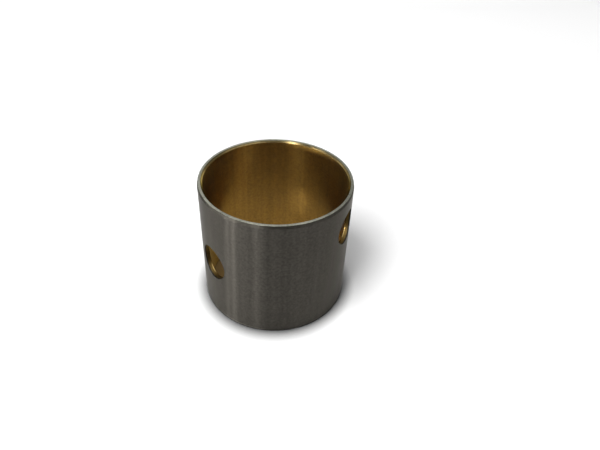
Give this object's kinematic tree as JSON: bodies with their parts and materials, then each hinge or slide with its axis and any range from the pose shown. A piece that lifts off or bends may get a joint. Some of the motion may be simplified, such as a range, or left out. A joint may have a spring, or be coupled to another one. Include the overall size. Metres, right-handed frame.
{
  "type": "plain bearing bushing",
  "caption": "Thin-walled steel bushing with a bonded bronze lining, chamfered ends and round oil holes through the wall; presses into a housing and carries a shaft.",
  "frame": {"origin": "centre of the bushing's bottom end, where the bore axis meets the plane that it stands on", "axes": "+Z along the bore from the bottom end to the top end, -Y out through the front oil hole, +X to the right of it"},
  "size_m": [0.05, 0.05, 0.045],
  "materials": {
    "ground_steel": "ground round the outside, turned on the end faces, unplated",
    "bearing_bronze": "bored smooth, with fine lines round the bore"
  },
  "bodies": {
    "root": {"steel_shell": "ground_steel", "bronze_lining": "bearing_bronze"}
  },
  "joints": []
}
